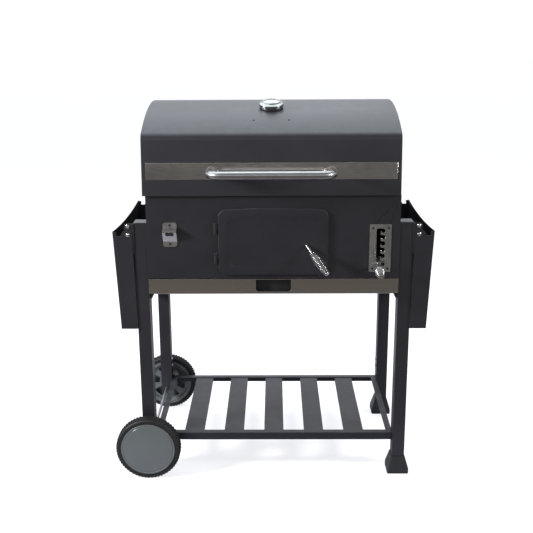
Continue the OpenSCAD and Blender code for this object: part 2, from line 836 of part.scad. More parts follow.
// A cup with an upright wall, a shoulder and a narrower rolled rim that holds the lens
module thermometer_bezel() color(chrome) hood_frame() on_hood_top(gauge_y) {
  wall = gauge_radius;
  rim = lens_radius;
  rotate_extrude($fn = 72) polygon([[5.2, 2], [wall - 2, 2], [wall - 0.6, 3], [wall, 5], [wall, 13],
    [wall - 0.6, 14.5], [wall - 3.2, 16.2], [rim + 5.6, 18.2], [rim + 3, 21.2], [rim + 2, 22.2],
    [rim + 0.8, 22.4], [rim - 1, 21.6], [rim + 0.1, 20.6], [rim + 0.1, 12.5], [wall - 1.6, 12.5],
    [wall - 1.6, 3.5], [5.2, 3.5]]);
}

module thermometer_dial() color("white") hood_frame() on_hood_top(gauge_y) difference() {
  translate([0, 0, 15.5]) cylinder(r = lens_radius, h = 1);
  translate([0, 0, 15]) cylinder(r = 1.2, h = 4);
}

module thermometer_lens() color([0.9, 0.95, 1, 0.4]) hood_frame() on_hood_top(gauge_y)
  translate([0, 0, 19]) cylinder(r = lens_radius, h = 1.5);

module thermometer_probe() color(zinc) hood_frame() on_hood_top(gauge_y) {
  translate([0, 0, -70]) cylinder(r = 3, h = 60.5);
  translate([0, 0, -9.5]) cylinder(r = 5, h = 24.9);
  translate([0, 0, -7.5]) cylinder(r = 9, h = 5.5, $fn = 6);
}

module thermometer_needle() color("red") hood_frame() on_hood_top(gauge_y) {
  translate([0, 0, 16.9]) cylinder(r = 3, h = 1.2);
  translate([0, 0, 16.9]) linear_extrude(0.8)
    rotate(225) polygon([[-7, -1.2], [-7, 1.2], [0, 1.6], [20, 0.3], [20, -0.3], [0, -1.6]]);
}

// ---------------------------------------------------------------- coal door

// A rectangle with round corners and a gently arched top, centred on X = 0, in X and Z
function arched(width, low, side, mid, corner) =
  let (half = width / 2, sag = mid - side, big = (half * half + sag * sag) / (2 * sag),
    big_z = low + mid - big, cx = half - corner,
    cz = big_z + sqrt(pow(big - corner, 2) - cx * cx), turn = atan2(cz - big_z, cx))
  concat(arc([-cx, low + corner], corner, 180, 270, 8), arc([cx, low + corner], corner, -90, 0, 8),
    arc([cx, cz], corner, 0, turn, 8), arc([0, big_z], big, turn, 180 - turn, 20),
    arc([-cx, cz], corner, 180 - turn, 180, 8));

module door_slice(inset, y, depth) {
  along_y(y, depth) polygon(arched(door_width - 2 * inset, door_bottom + inset,
    door_side_height - 2 * inset, door_mid_height - 2 * inset, door_corner - inset));
}

module field_slice(inset, y, depth) {
  along_y(y, depth) polygon(arched(door_field_width - 2 * inset, door_field_bottom + inset,
    door_field_side - 2 * inset, door_field_mid - 2 * inset, door_field_corner - inset));
}

module coal_door() color(paint) cart_frame() {
  difference() {
    hull() {
      door_slice(0, -7.5, door_back + 7.5);
      door_slice(0.9, -9.3, 1);
      door_slice(3, door_front, 1);
    }
    hull() {
      field_slice(0, door_front - 1, 1);
      field_slice(door_field_slope, door_front + door_field_depth - 0.5, 0.5);
    }
    door_slice(2.5, -6.3, 10);
    rod_y(latch_x, latch_z, -20, 10, latch_radius + running);
  }
  for (z = door_hinge_z) difference() {
    union() {
      translate([door_axis_x, door_axis_y, z]) cylinder(r = door_knuckle, h = door_hinge_half);
      box([door_axis_x, door_axis_y - 1.5, z], [-door_width / 2 + 0.2, door_axis_y + 1.5, z + door_hinge_half]);
    }
    translate([door_axis_x, door_axis_y, z - 1]) cylinder(r = door_pin + running, h = 40);
  }
}

// A round rod with one bend: along Y to the elbow, then straight to the tip
module bent_rod(elbow, tip, r, inner) {
  rod_y(elbow[0], elbow[2], elbow[1], inner, r);
  translate(elbow) sphere(r + 0.25);
  on_line(elbow, tip) cylinder(r = r, h = norm(tip - elbow) - 1);
}

// The latch rod with its tongue and nut behind the door
module latch_rod() color(chrome) cart_frame() {
  bent_rod(latch_elbow, latch_tip, latch_radius, 8);
  along_y(1.5, 2.5) slot([latch_x, latch_z], [latch_x + 47, latch_z], 7);
  translate([latch_x, 7, latch_z]) rotate([90, 0, 0]) cylinder(r = 7, h = 4, $fn = 6);
}

// A barrel-shaped grip on a rod that ends at the tip
module grip(elbow, tip, r) {
  d = tip - elbow;
  n = 16;
  on_line(elbow, tip) translate([0, 0, norm(d) - grip_length - 3]) rotate_extrude()
    polygon(concat([[r + play, grip_length], [r + play, 0]],
      [for (i = [0 : n]) [grip_end_radius + grip_bulge * sin(180 * i / n), grip_length * i / n]]));
}

module grip_cap(elbow, tip, r) {
  on_line(elbow, tip) translate([0, 0, norm(tip - elbow) - 2.8]) difference() {
    union() {
      cylinder(r = 8, h = 2.5);
      cylinder(r = 5, h = 5);
    }
    translate([0, 0, 3]) cylinder(r = 2.5, h = 5, $fn = 6);
    translate([0, 0, -1]) cylinder(r = r + running, h = 2.9);
  }
}

module latch_grip() color(chrome) cart_frame() grip(latch_elbow, latch_tip, latch_radius);
module latch_cap() color(chrome) cart_frame() grip_cap(latch_elbow, latch_tip, latch_radius);

// ---------------------------------------------------------------- ash drawer

module ash_tray() color(zinc) cart_frame() difference() {
  t = 1.2;
  low = drawer_low - 1.6;
  top = 664;
  box([-drawer_half, panel_inner_front, low], [drawer_half, drawer_back, top]);
  box([-drawer_half + t, panel_inner_front + t, low + t], [drawer_half - t, drawer_back - t, top + 1]);
  box([-pull_half - 3, -5, pull_low - 3], [pull_half + 3, 5, top + 1]);
}

module drawer_front() color(steel) cart_frame() along_y(panel_front, sheet) difference() {
  translate([-leg_in, drawer_low]) square([2 * leg_in, drawer_high - drawer_low]);
  translate([-pull_half, pull_low + pull_corner])
    square([2 * pull_half, pull_high - pull_low - pull_corner]);
  slot([-pull_half + pull_corner, pull_low + pull_corner],
    [pull_half - pull_corner, pull_low + pull_corner], pull_corner);
}

module drawer_pull() color(black) cart_frame() difference() {
  wall = 2.2;
  box([-pull_half - wall, panel_inner_front, pull_low - wall],
    [pull_half + wall, 18, pull_high + wall]);
  box([-pull_half, panel_inner_front - 1, pull_low], [pull_half, 18 - wall, pull_high]);
}

// ---------------------------------------------------------------- charcoal tray

module charcoal_tray() color(enamel) cart_frame() difference() {
  t = 1.5;
  union() {
    box([-coal_half, coal_front, coal_low], [coal_half, coal_back, coal_high]);
    box([-coal_half - 6, coal_front - 4, coal_high - t], [coal_half + 6, coal_back + 4, coal_high]);
  }
  box([-coal_half + t, coal_front + t, coal_low + t], [coal_half - t, coal_back - t, coal_high + 1]);
  for (i = [-4 : 4], j = [0 : 4])
    box([i * 78 - 27, 68 + j * 88, coal_low - 1], [i * 78 + 27, 76 + j * 88, coal_low + t + 1]);
}

block_half_x = 10.5;
block_half_z = 5.5;
lever_shift = 14;

// A channel on the tray's front wall, in which the lever's block slides sideways
module lever_bracket() color(zinc) cart_frame() {
  x0 = slot_x - block_half_x - 2.5;
  x1 = slot_x + block_half_x + lever_shift + 2.5;
  for (side = [-1, 1]) {
    z = lever_z + side * (block_half_z + play + 1);
    box([x0, 3, z - 1], [x1, coal_front, z + 1]);
  }
  high = block_half_z + play + 1;
  for (x = [x0, x1 - 2]) box([x, 3, lever_z - high], [x + 2, coal_front, lever_z + high]);
}

module lever_rod() color(chrome) cart_frame() {
  bent_rod(lever_elbow, lever_tip, lever_radius, 5);
  box([slot_x - block_half_x, 4, lever_z - block_half_z],
    [slot_x + block_half_x, coal_front - 0.5, lever_z + block_half_z]);
}

module lever_grip() color(chrome) cart_frame() grip(lever_elbow, lever_tip, lever_radius);
module lever_cap() color(chrome) cart_frame() grip_cap(lever_elbow, lever_tip, lever_radius);

// ---------------------------------------------------------------- side shelves

// A flange's outline: a foot beside the leg, a lobe about the pivot, a notch that drops
// over the lock bolt when the shelf is up, and a tab at the outer corner
function flange_outline() = concat(
  [[leg_out + play, shelf_end[1]], [shelf_corner[0] - side_flange, 803]],
  arc(pivot, 13.4, 180, 60, 8),
  [[pivot[0] + 15, pivot[1] + 10]],
  arc([pivot[0] + 25.5, 812], 3.6, 180, 270, 4),
  arc([pivot[0] + 34, 811.4], 3, -90, 60, 5),
  arc([pivot[0] + 38.5, 818.2], 3.5, 200, 60, 5),
  [shelf_corner, shelf_end]);

module plate_strip(y, width) {
  t = [shelf_sheet, 0];
  along_y(y, width) polygon([shelf_corner, shelf_end, shelf_end - t, shelf_corner - t]);
}

module side_shelf() difference() {
  hollow = 10;
  edge_r = (pow(leg_span / 2, 2) + pow(hollow, 2)) / (2 * hollow);
  edge_turn = asin((leg_span / 2 + 3) / edge_r);
  union() {
    plate_strip(shelf_front, shelf_back - shelf_front);
    for (y = [shelf_front, shelf_back - shelf_sheet]) along_y(y, shelf_sheet) polygon(flange_outline());
    box([leg_out + play, shelf_front, shelf_end[1]],
      [shelf_end[0] - eps, shelf_back, shelf_end[1] + shelf_sheet]);
  }
  along_x(440, 80) polygon(arc([leg_span / 2, shelf_corner[1] - hollow + edge_r], edge_r,
    270 - edge_turn, 270 + edge_turn, 24));
  rod_y(pivot[0], pivot[1], -20, leg_span + 20, bolt_radius + running);
}

module left_side_shelf() color(paint) cart_frame() mirror([1, 0, 0]) side_shelf();
module right_side_shelf() color(paint) cart_frame() side_shelf();

front_left_leg();
rear_left_leg();
front_right_leg();
rear_right_leg();
leg_plugs();
feet();
shelf_long_rails();
shelf_short_rails();
shelf_slats();
frame_bolts();
firebox_front_panel();
firebox_back_panel();
firebox_left_panel();
firebox_right_panel();
drawer_runners();
grate_ledges();
cooking_grates();
tray_rests();
height_plate();
panel_screws();
bottle_opener();
door_hinge_brackets();
shelf_brackets();
shelf_bolts();
hood_hinge_brackets();
wheel_axle();
axle_nuts_and_spacers();
hood_shell();
hood_left_end();
hood_right_end();
hood_strip();
hood_handle();
handle_screws();
hood_hinge_straps();
thermometer_gasket();
thermometer_bezel();
thermometer_dial();
thermometer_lens();
thermometer_probe();
thermometer_needle();
coal_door();
latch_rod();
latch_grip();
latch_cap();
ash_tray();
drawer_front();
drawer_pull();
charcoal_tray();
lever_bracket();
lever_rod();
lever_grip();
lever_cap();
left_side_shelf();
right_side_shelf();
front_tyre();
front_hub();
front_hubcap();
rear_tyre();
rear_hub();
rear_hubcap();
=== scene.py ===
import json
import math

import bmesh
import bpy
from mathutils import Matrix, Vector


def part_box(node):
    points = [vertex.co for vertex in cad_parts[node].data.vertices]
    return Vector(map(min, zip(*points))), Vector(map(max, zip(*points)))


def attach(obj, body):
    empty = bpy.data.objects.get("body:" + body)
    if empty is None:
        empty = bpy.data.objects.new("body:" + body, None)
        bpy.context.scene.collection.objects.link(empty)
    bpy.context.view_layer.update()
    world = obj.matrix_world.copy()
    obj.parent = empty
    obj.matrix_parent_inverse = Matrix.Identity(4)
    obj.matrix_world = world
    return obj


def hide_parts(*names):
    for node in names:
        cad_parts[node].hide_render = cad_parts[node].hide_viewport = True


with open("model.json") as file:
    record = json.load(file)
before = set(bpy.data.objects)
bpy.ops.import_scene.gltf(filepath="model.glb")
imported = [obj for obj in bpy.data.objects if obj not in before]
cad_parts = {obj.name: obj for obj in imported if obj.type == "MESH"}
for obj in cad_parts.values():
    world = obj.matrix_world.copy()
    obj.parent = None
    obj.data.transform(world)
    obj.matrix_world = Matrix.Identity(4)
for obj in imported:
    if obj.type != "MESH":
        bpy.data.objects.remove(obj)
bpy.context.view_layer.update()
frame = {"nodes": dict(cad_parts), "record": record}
NODES = frame["nodes"]
MM = 0.001

# Edges bent more than this stay sharp on CAD nodes and on mesh pieces, in degrees
SHARP_EDGE = 30.0
PIECE_SHARP = 35.0
# CAD edges bent more than this, in degrees, get a small round of this width, in mm
ROUND_ABOVE = 38.0
EDGE_ROUND = 0.35

# Colours of dust and worn edges, and how far from an edge paint and other surfaces wear, in mm; the paint's
# paler edges are worn paint and also a painted edge highlight
DUST = [0.11, 0.11, 0.115]
WORN_PAINT_AND_EDGE_HIGHLIGHT = [0.085, 0.085, 0.09]
WORN_METAL = [0.75, 0.74, 0.72]
PAINT_WEAR_AND_HIGHLIGHT = 0.9
EDGE_WEAR = 0.8
# Texture scale along a brushed sheet's hair lines, where it is 1 across them
HAIR_STRETCH = 0.012

# The mesh tyre, in mm: from the origin of axle_frame() to its sidewall, depth of the tread and of the bead
# under the tread's top, the rows of blocks across it, how far a block's side slopes, and blocks in a row
TYRE_INSET = 1.0
TREAD_DEPTH = 2.6
BEAD_DEPTH = 17.0
TREAD_ROWS = [(5.2, 11.6), (13.2, 19.4), (21.6, 27.8), (29.4, 35.8)]
TREAD_WALL = 0.5
TREAD_BLOCKS = 60
# Height along one block and the groove after it, as a share of the tread's depth
BLOCK_PROFILE = [0.0, 1.0, 1.0, 1.0, 1.0, 1.0, 1.0, 0.0, 0.0, 0.0]

# The wire coil grips, in mm: radius of the wire, from turn to turn, radius of the barrel at its ends, its
# swell in the middle, and the black lining's depth under the barrel and its bore; the lining is painted
# shade inside the coil
COIL_WIRE = 1.05
COIL_PITCH = 4.9
COIL_END = 8.5
COIL_BULGE = 5.5
SHADE_LINING_DEPTH = 1.3 * COIL_WIRE
SHADE_LINING_BORE = 4.4

# The thermometer's dial, in mm and degrees: half its thickness, where its scale starts and how far it
# turns, its numbers and ticks (from radius, to radius, width), and their thickness, which the numbers
# have on each side of their middle
DIAL_HALF = 0.5
DIAL_START = 225.0
DIAL_SWEEP = 270.0
DIAL_NUMBERS = range(0, 401, 50)
DIAL_TICKS = 40
TICKS_PER_NUMBER = 5
LONG_TICK = (19.6, 24.0, 1.0)
SHORT_TICK = (21.6, 24.0, 0.5)
NUMBER_RADIUS = 16.2
NUMBER_SIZE = 4.6
NUMBER_DEPTH = 0.05
TICK_DEPTH = 0.12


# ---------------------------------------------------------------- node materials

class Shaders:
    """Short calls that add and link the nodes of one shader tree."""

    def __init__(self, tree):
        self.tree = tree

    def add(self, kind, **settings):
        node = self.tree.nodes.new(kind)
        for key, value in settings.items():
            setattr(node, key, value)
        return node

    def put(self, socket, value):
        if isinstance(value, bpy.types.NodeSocket):
            self.tree.links.new(value, socket)
        else:
            socket.default_value = value

    def axes(self, vector):
        """The X, Y and Z of a vector, by name."""
        split = self.add("ShaderNodeSeparateXYZ")
        self.put(split.inputs[0], vector)
        return split.outputs

    def spread(self, value, low, high, start=0.0, end=1.0):
        """Turns value from low to high into start to end."""
        node = self.add("ShaderNodeMapRange")
        for key, number in (("Value", value), ("From Min", low), ("From Max", high),
                            ("To Min", start), ("To Max", end)):
            self.put(node.inputs[key], number)
        return node.outputs["Result"]

    def math(self, operation, a, b):
        node = self.add("ShaderNodeMath", operation=operation)
        self.put(node.inputs[0], a)
        self.put(node.inputs[1], b)
        return node.outputs[0]

    def window(self, axes, edges, strength=1.0):
        """strength inside all the edges (axis, low, high), each fading from 0 at low to 1 at high."""
        for axis, low, high in edges:
            strength = self.math("MULTIPLY", strength, self.spread(axes[axis], low, high))
        return strength

    def blend(self, amount, a, b):
        node = self.add("ShaderNodeMix", data_type="RGBA")
        self.put(node.inputs["Factor"], amount)
        for socket, colour in zip((node.inputs[6], node.inputs[7]), (a, b)):
            self.put(socket, colour if isinstance(colour, bpy.types.NodeSocket) else (*colour, 1.0))
        return node.outputs[2]


class Look(Shaders):
    """A node material round one Principled shader. Textures lie in the row frame, in metres."""

    def __init__(self, name, **inputs):
        self.material = bpy.data.materials.new(name)
        self.material.use_nodes = True
        super().__init__(self.material.node_tree)
        self.shader = self.tree.nodes["Principled BSDF"]
        for key, value in inputs.items():
            self.shader.inputs[key.replace("_", " ")].default_value = value
        self.place = self.add("ShaderNodeTexCoord").outputs["Object"]
        self.bumped = None

    def stretched(self, stretch):
        node = self.add("ShaderNodeMapping")
        self.put(node.inputs["Vector"], self.place)
        node.inputs["Scale"].default_value = stretch
        return node.outputs["Vector"]

    def noise(self, scale, detail=2.0, rough=0.5, stretch=None):
        node = self.add("ShaderNodeTexNoise")
        self.put(node.inputs["Vector"], self.stretched(stretch) if stretch else self.place)
        node.inputs["Scale"].default_value = scale
        node.inputs["Detail"].default_value = detail
        node.inputs["Roughness"].default_value = rough
        return node.outputs["Fac"]

    def edges(self, radius):
        """1 close to an edge and 0 on a flat face, from how far a rounded normal leans, as a cosine."""
        flat, bent = 0.997, 0.97
        bevel = self.add("ShaderNodeBevel", samples=4)
        bevel.inputs["Radius"].default_value = radius
        dot = self.add("ShaderNodeVectorMath", operation="DOT_PRODUCT")
        self.put(dot.inputs[0], bevel.outputs["Normal"])
        self.put(dot.inputs[1], self.add("ShaderNodeNewGeometry").outputs["Normal"])
        return self.spread(dot.outputs["Value"], flat, bent)

    def upward(self):
        """1 on faces that look up, where dust settles, and 0 on steep ones."""
        steep, level = 0.55, 0.95
        normal = self.add("ShaderNodeNewGeometry").outputs["Normal"]
        return self.spread(self.axes(normal)["Z"], steep, level)

    def bump(self, height, distance, strength=1.0):
        node = self.add("ShaderNodeBump")
        node.inputs["Strength"].default_value = strength
        node.inputs["Distance"].default_value = distance
        self.put(node.inputs["Height"], height)
        if self.bumped:
            self.put(node.inputs["Normal"], self.bumped)
        self.bumped = node.outputs["Normal"]
        self.put(self.shader.inputs["Normal"], self.bumped)

    def colour(self, value):
        self.put(self.shader.inputs["Base Color"], value)

    def roughness(self, value):
        self.put(self.shader.inputs["Roughness"], value)


def powder_coat(name, dark, light, rough, texture=1500.0, depth=0.00004, ior=1.45):
    """Satin powder coat: fine grain, cloudy tone, a little dust on top and paler edges, which are worn
    paint and also a painted edge highlight.
    """
    look = Look(name, IOR=ior)
    grain = look.noise(texture, 2.0, 0.6)
    cloud = look.noise(7.0, 3.0, 0.6)
    tone = look.blend(look.spread(cloud, 0.3, 0.7), dark, light)
    speck = look.spread(look.noise(texture * 0.55, 1.0), 0.62, 0.72, 0.0, 0.35)
    tone = look.blend(speck, tone, [c * 1.9 for c in light])
    settled = look.spread(look.noise(24.0, 4.0, 0.7), 0.42, 0.75, 0.0, 0.30)
    dust = look.math("MULTIPLY", look.upward(), settled)
    tone = look.blend(dust, tone, DUST)
    # Paler edges: worn paint, and also a painted highlight along the edges
    rubbed = look.spread(look.noise(160.0, 3.0), 0.45, 0.65, 0.05, 0.45)
    worn = look.math("MULTIPLY", look.edges(PAINT_WEAR_AND_HIGHLIGHT * MM), rubbed)
    look.colour(look.blend(worn, tone, WORN_PAINT_AND_EDGE_HIGHLIGHT))
    look.roughness(look.math("ADD", look.spread(grain, 0.3, 0.7, rough - 0.05, rough + 0.07),
                             look.math("MULTIPLY", dust, 0.4)))
    look.bump(look.noise(90.0, 1.0), 0.00006, 0.5)
    look.bump(grain, depth)
    return look.material


def brushed_metal(name, base, rough, along="X", lines=2600.0, tint=0.12, depth=0.000012):
    """Brushed sheet: long hair lines, faint smears and paler edges."""
    look = Look(name, Metallic=1.0)
    stretch = tuple(HAIR_STRETCH if axis == along else 1.0 for axis in "XYZ")
    hair = look.noise(lines, 2.0, 0.6, stretch)
    smear = look.noise(9.0, 4.0, 0.6)
    low, high = [[c * f for c in base] for f in (1.0 - tint, 1.0 + tint)]
    tone = look.blend(look.spread(hair, 0.3, 0.7), low, high)
    tone = look.blend(look.spread(smear, 0.5, 0.8, 0.0, 0.3), tone, [c * 0.8 for c in base])
    worn = look.math("MULTIPLY", look.edges(EDGE_WEAR * MM), 0.6)
    look.colour(look.blend(worn, tone, WORN_METAL))
    look.roughness(look.math("ADD", look.spread(hair, 0.3, 0.7, rough - 0.06, rough + 0.06),
                             look.spread(smear, 0.35, 0.75, -0.03, 0.08)))
    look.bump(hair, depth, 0.6)
    return look.material


def plated(name, base, rough, smudge=0.10, ripple=0.00002):
    """Polished or plated metal with faint smudges and a slightly uneven surface."""
    look = Look(name, Metallic=1.0)
    smear = look.noise(60.0, 4.0, 0.65)
    tone = look.blend(look.spread(smear, 0.35, 0.7), base, [c * 0.82 for c in base])
    grime = look.spread(look.noise(380.0, 2.0), 0.58, 0.75, 0.0, 0.25)
    look.colour(look.blend(grime, tone, [c * 0.55 for c in base]))
    look.roughness(look.spread(smear, 0.35, 0.75, rough, rough + smudge))
    look.bump(look.noise(220.0, 2.0), ripple, 0.5)
    return look.material


def galvanised(name):
    """Zinc plate with a soft crystal mottling."""
    look = Look(name, Metallic=1.0)
    cell = look.add("ShaderNodeTexVoronoi")
    look.put(cell.inputs["Vector"], look.place)
    cell.inputs["Scale"].default_value = 260.0
    shade = look.spread(look.axes(cell.outputs["Color"])["X"], 0.0, 1.0, 0.0, 0.7)
    tone = look.blend(shade, [0.50, 0.51, 0.52], [0.66, 0.67, 0.68])
    dull = look.spread(look.noise(35.0, 4.0), 0.5, 0.75, 0.0, 0.45)
    look.colour(look.blend(dull, tone, [0.36, 0.36, 0.35]))
    look.roughness(look.spread(look.noise(420.0, 3.0), 0.3, 0.7, 0.30, 0.46))
    look.bump(look.noise(700.0, 2.0), 0.00002, 0.6)
    return look.material


def moulded_plastic(name, dark, light, rough, grain_size=2200.0, depth=0.00003, scuffs=0.25):
    """Injection-moulded plastic: spark-eroded grain, soft flow marks and scuffs."""
    look = Look(name, IOR=1.47)
    grain = look.noise(grain_size, 2.0, 0.6)
    flow = look.noise(14.0, 3.0, 0.6, (1.0, 1.0, 0.35))
    tone = look.blend(look.spread(flow, 0.35, 0.65), dark, light)
    scuff = look.spread(look.noise(70.0, 5.0, 0.75), 0.62, 0.78, 0.0, scuffs)
    tone = look.blend(scuff, tone, [min(1.0, c * 1.6) for c in light])
    worn = look.math("MULTIPLY", look.edges(EDGE_WEAR * MM), 0.35)
    look.colour(look.blend(worn, tone, [c * 1.8 for c in light]))
    look.roughness(look.math("ADD", look.spread(flow, 0.3, 0.7, rough - 0.05, rough + 0.05),
                             look.math("MULTIPLY", scuff, 0.5)))
    look.bump(grain, depth)
    return look.material


def enamel(name):
    """Black vitreous enamel: glassy, with pin marks and an uneven thickness."""
    look = Look(name, IOR=1.52, Coat_Weight=0.4, Coat_Roughness=0.12)
    look.colour(look.blend(look.spread(look.noise(45.0, 4.0), 0.4, 0.7), [0.010, 0.010, 0.011],
                           [0.026, 0.026, 0.028]))
    look.roughness(look.spread(look.noise(120.0, 3.0), 0.35, 0.7, 0.22, 0.42))
    look.bump(look.noise(260.0, 2.0), 0.00006, 0.6)
    return look.material


def tyre_rubber(name):
    """Hard tyre compound with patches of browner dust."""
    look = Look(name, IOR=1.40)
    dust = look.spread(look.noise(120.0, 5.0, 0.7), 0.38, 0.72, 0.0, 0.8)
    look.colour(look.blend(dust, [0.005, 0.005, 0.0055], [0.018, 0.017, 0.015]))
    look.roughness(look.spread(look.noise(300.0, 3.0), 0.3, 0.7, 0.52, 0.74))
    look.bump(look.noise(1300.0, 3.0, 0.6), 0.00006)
    return look.material


def dial_face(name):
    """Pale painted sheet, a little faded."""
    look = Look(name, IOR=1.5)
    faded = look.spread(look.noise(90.0, 3.0), 0.4, 0.7)
    look.colour(look.blend(faded, [0.36, 0.39, 0.36], [0.29, 0.31, 0.28]))
    look.roughness(look.spread(look.noise(300.0, 2.0), 0.3, 0.7, 0.35, 0.5))
    look.bump(look.noise(1800.0, 2.0), 0.00001)
    return look.material


def red_enamel(name):
    """The needle's red paint, a little faded."""
    look = Look(name, IOR=1.5)
    faded = look.spread(look.noise(900.0, 2.0), 0.4, 0.7)
    look.colour(look.blend(faded, [0.50, 0.02, 0.015], [0.36, 0.02, 0.015]))
    look.roughness(look.spread(look.noise(500.0, 2.0), 0.3, 0.7, 0.25, 0.4))
    look.bump(look.noise(1500.0, 2.0), 0.00001)
    return look.material


def clear_glass(name):
    """Clear glass with faint smears."""
    look = Look(name, Transmission_Weight=1.0, IOR=1.48)
    look.colour(look.blend(look.spread(look.noise(40.0, 3.0), 0.45, 0.8, 0.0, 0.5), [0.95, 0.98, 0.97],
                           [0.88, 0.93, 0.92]))
    look.roughness(look.spread(look.noise(60.0, 4.0), 0.45, 0.8, 0.01, 0.06))
    look.bump(look.noise(30.0, 1.0), 0.00002)
    return look.material


LOOKS = {
    "paint": powder_coat("paint", [0.0120, 0.0117, 0.0152], [0.0165, 0.0160, 0.0202], 0.40),
    "slat_paint": powder_coat("slat_paint", [0.010, 0.0105, 0.0145], [0.014, 0.0145, 0.020], 0.42,
                              1100.0, 0.00002, ior=1.38),
    "plug_plastic": moulded_plastic("plug_plastic", [0.058, 0.062, 0.069], [0.074, 0.078, 0.085], 0.5),
    "foot_plastic": moulded_plastic("foot_plastic", [0.009, 0.0095, 0.0105], [0.014, 0.0145, 0.016], 0.42),
    "stainless": brushed_metal("stainless", [0.435, 0.405, 0.37], 0.13, depth=0.000003, tint=0.05),
    "brushed_plate": brushed_metal("brushed_plate", [0.50, 0.49, 0.48], 0.28, along="Z",
                                   lines=1500.0, tint=0.2),
    "handle_steel": plated("handle_steel", [0.37, 0.365, 0.36], 0.29, 0.05, ripple=0.000003),
    "chrome": plated("chrome", [0.56, 0.55, 0.54], 0.16, 0.10),
    "bezel_steel": plated("bezel_steel", [0.33, 0.335, 0.33], 0.20, 0.08),
    "coil_steel": plated("coil_steel", [0.50, 0.49, 0.48], 0.27, 0.08),
    "zinc": galvanised("zinc"),
    "black_steel": powder_coat("black_steel", [0.012, 0.012, 0.013], [0.020, 0.020, 0.021], 0.38),
    "enamel": enamel("enamel"),
    "tyre": tyre_rubber("tyre"),
    "hub_plastic": moulded_plastic("hub_plastic", [0.098, 0.110, 0.111], [0.105, 0.117, 0.118], 0.24,
                                   2600.0, 0.00001, scuffs=0.05),
    "gasket": moulded_plastic("gasket", [0.012, 0.012, 0.012], [0.02, 0.02, 0.02], 0.6),
    "dial": dial_face("dial"),
    "needle": red_enamel("needle"),
    "lens": clear_glass("lens"),
}
# Nodes that look different from the rest of their slot: upright brushing, or duller plating
NODE_LOOKS = {"height_plate": "brushed_plate", "bottle_opener": "brushed_plate",
              "thermometer_bezel": "bezel_steel"}


def give(thing, look):
    """Puts a look on a CAD node or a piece, in place of what it had."""
    thing.data.materials.clear()
    thing.data.materials.append(LOOKS[look])


def smoothing():
    """Joins the facets of curved faces and keeps only real edges sharp."""
    group = bpy.data.node_groups.new("smooth_curves", "GeometryNodeTree")
    group.interface.new_socket("Geometry", in_out="INPUT", socket_type="NodeSocketGeometry")
    group.interface.new_socket("Geometry", in_out="OUTPUT", socket_type="NodeSocketGeometry")
    add, link = group.nodes.new, group.links.new
    merge = add("GeometryNodeMergeByDistance")
    merge.inputs["Distance"].default_value = 0.005 * MM
    forget = add("GeometryNodeRemoveAttribute")
    forget.inputs["Name"].default_value = "custom_normal"
    faces = add("GeometryNodeSetShadeSmooth")
    edges = add("GeometryNodeSetShadeSmooth")
    edges.domain = "EDGE"
    edges.inputs["Shade Smooth"].default_value = False
    angle = add("GeometryNodeInputMeshEdgeAngle")
    steep = add("FunctionNodeCompare")
    steep.operation = "GREATER_THAN"
    steep.inputs["B"].default_value = math.radians(SHARP_EDGE)
    chain = [add("NodeGroupInput"), merge, forget, faces, edges, add("NodeGroupOutput")]
    for before, after in zip(chain, chain[1:]):
        link(before.outputs[0], after.inputs[0])
    link(angle.outputs["Unsigned Angle"], steep.inputs["A"])
    link(steep.outputs["Result"], edges.inputs["Selection"])
    return group


def dress_nodes():
    """Every CAD node gets its material, and its hard edges get a small round."""
    smooth = smoothing()
    for part in frame["record"]["subparts"]:
        node = NODES[part["node"]]
        give(node, NODE_LOOKS.get(part["node"], part["material_slot"]))
        if part["material_slot"] == "lens":
            continue
        node.modifiers.new("smooth_curves", "NODES").node_group = smooth
        bevel = node.modifiers.new("edge_round", "BEVEL")
        bevel.width = EDGE_ROUND * MM
        bevel.segments = 2
        bevel.limit_method = "ANGLE"
        bevel.angle_limit = math.radians(ROUND_ABOVE)
        even = node.modifiers.new("even_shading", "WEIGHTED_NORMAL")
        even.keep_sharp = True
        even.weight = 80


# ---------------------------------------------------------------- pieces in mesh code

def piece(name, mesh, slot, body, replaced=()):
    """A new piece from a bmesh, with its material slot and the body it rides on."""
    data = bpy.data.meshes.new(name)
    mesh.to_mesh(data)
    mesh.free()
    for face in data.polygons:
        face.use_smooth = True
    made = bpy.data.objects.new(name, data)
    bpy.context.scene.collection.objects.link(made)
    give(made, slot)
    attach(made, body)
    if replaced:
        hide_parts(*replaced)
    return made


def round_angles(count):
    return [2 * math.pi * k / count for k in range(count)]


def skin(mesh, rings):
    """Faces between each ring of vertices and the next."""
    for a, b in zip(rings, rings[1:]):
        for k in range(len(a)):
            n = (k + 1) % len(a)
            mesh.faces.new((a[k], a[n], b[n], b[k]))


def middle(node):
    """The mean place of a CAD node's vertices."""
    points = [v.co for v in NODES[node].data.vertices]
    return sum(points, Vector()) / len(points)


def axle_frame(node, out):
    """Wheel axes: the origin on the axle, TYRE_INSET inside the wheel's inner face, +Z outwards."""
    low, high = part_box(node)
    inner = low.y if out > 0 else high.y
    centre = Vector(((low.x + high.x) / 2, inner - out * TYRE_INSET * MM, (low.z + high.z) / 2))
    turn = Matrix.Rotation(math.radians(-90 if out > 0 else 90), 4, "X")
    return Matrix.Translation(centre) @ turn


def tyre_rings(radius, width):
    """Radius, place along the axle and tread row, if any, of each ring from one bead to the other."""
    base = radius - TREAD_DEPTH
    bead = radius - BEAD_DEPTH
    side = [(bead, TYRE_INSET), (bead + 5, TYRE_INSET), (radius - 8.2, 1.3), (radius - 7.4, TYRE_INSET),
            (radius - 6.6, TYRE_INSET), (radius - 5.9, 1.7), (radius - 4.6, 2.4), (base - 0.9, 3.4),
            (base - 0.3, 4.4)]
    rings = [(r, z, None) for r, z in side]
    for row, (start, end) in enumerate(TREAD_ROWS):
        rings += [(base, start, None), (base, start + TREAD_WALL, row),
                  (base, end - TREAD_WALL, row), (base, end, None)]
    return rings + [(r, width - z, None) for r, z in reversed(side)]


